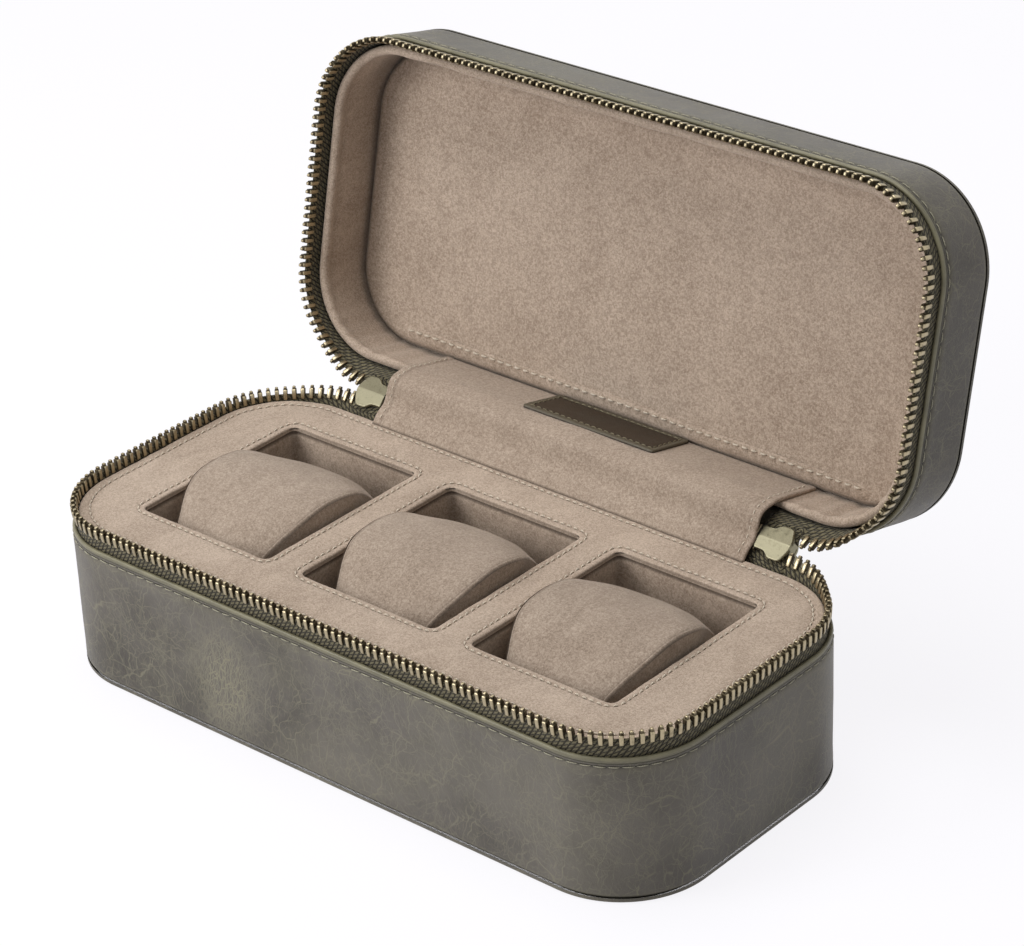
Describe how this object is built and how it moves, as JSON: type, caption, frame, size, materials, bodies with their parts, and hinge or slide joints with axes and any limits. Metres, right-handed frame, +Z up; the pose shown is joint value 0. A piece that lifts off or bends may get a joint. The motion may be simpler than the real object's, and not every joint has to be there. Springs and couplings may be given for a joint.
{
  "type": "watch travel case",
  "caption": "Zip-round leather travel case with a hinged lid, suede-lined wells, arched watch cushions and brass sliders with pulls.",
  "frame": {"origin": "middle of the base's underside", "axes": "+Z up, +X along the row of wells, +Y towards the hinge"},
  "size_m": [0.2512, 0.1801, 0.1749],
  "materials": {
    "leather": "grey-olive pull-up leather, satin",
    "edge_leather": "pale olive bead along the leather's edge",
    "patch_leather": "dark brown leather patch, satin",
    "suede": "beige suede with a short nap",
    "board": "fibreboard",
    "foam": "dense foam",
    "brass": "antique brass",
    "zip_tape": "olive herringbone tape"
  },
  "bodies": {
    "base": {"base_bottom_leather": "leather", "base_side_leather": "leather", "base_edge_bead": "edge_leather", "base_bottom_board": "board", "base_side_board": "board", "base_insert_core": "foam", "base_floor_pad": "suede", "base_top_panel": "suede", "well_lining_left": "suede", "well_lining_middle": "suede", "well_lining_right": "suede", "base_zip_tape": "zip_tape", "base_zip_teeth": "brass", "hinge_spine": "leather"},
    "lid": {"lid_top_leather": "leather", "lid_side_leather": "leather", "lid_edge_bead": "edge_leather", "lid_top_board": "board", "lid_side_board": "board", "lid_side_lining": "suede", "lid_padded_panel": "suede", "lid_seam_strip": "suede", "lid_zip_tape": "zip_tape", "lid_zip_teeth": "brass", "hinge_flap": "suede", "flap_leather_patch": "patch_leather"},
    "cushion_left": {"cushion_left": "suede"},
    "cushion_middle": {"cushion_middle": "suede"},
    "cushion_right": {"cushion_right": "suede"},
    "slider_left": {"slider_left": "brass", "zip_end_left": "brass"},
    "slider_right": {"slider_right": "brass", "zip_end_right": "brass"},
    "pull_left": {"pull_left": "brass"},
    "pull_right": {"pull_right": "brass"}
  },
  "joints": [
    {"name": "lid_hinge", "type": "hinge", "parent": "base", "child": "lid", "pos_m": [0, 0.0627, 0.0587], "axis": [-1, 0, 0], "range_deg": [-103, 0], "deforming": ["hinge_spine", "hinge_flap"]},
    {"name": "slider_left_turn", "type": "hinge", "parent": "base", "child": "slider_left", "pos_m": [-0.0846, 0.0627, 0.0587], "axis": [-1, 0, 0], "range_deg": [-51.6, 0]},
    {"name": "slider_right_turn", "type": "hinge", "parent": "base", "child": "slider_right", "pos_m": [0.0846, 0.0627, 0.0587], "axis": [-1, 0, 0], "range_deg": [-51.6, 0]},
    {"name": "pull_left_swing", "type": "hinge", "parent": "slider_left", "child": "pull_left", "pos_m": [-0.0846, 0.06482, 0.05604], "axis": [0, 0.7826, 0.6225], "range_deg": [-80, 80]},
    {"name": "pull_right_swing", "type": "hinge", "parent": "slider_right", "child": "pull_right", "pos_m": [0.0846, 0.06482, 0.05604], "axis": [0, 0.7826, 0.6225], "range_deg": [-80, 80]},
    {"name": "cushion_left_lift", "type": "slide", "parent": "base", "child": "cushion_left", "axis": [0, 0, 1], "range_m": [0, 0.06]},
    {"name": "cushion_middle_lift", "type": "slide", "parent": "base", "child": "cushion_middle", "axis": [0, 0, 1], "range_m": [0, 0.06]},
    {"name": "cushion_right_lift", "type": "slide", "parent": "base", "child": "cushion_right", "axis": [0, 0, 1], "range_m": [0, 0.06]}
  ],
  "couplings": [
    {"joint": "slider_left_turn", "follows": "lid_hinge", "ratio": 0.5},
    {"joint": "slider_right_turn", "follows": "lid_hinge", "ratio": 0.5}
  ]
}
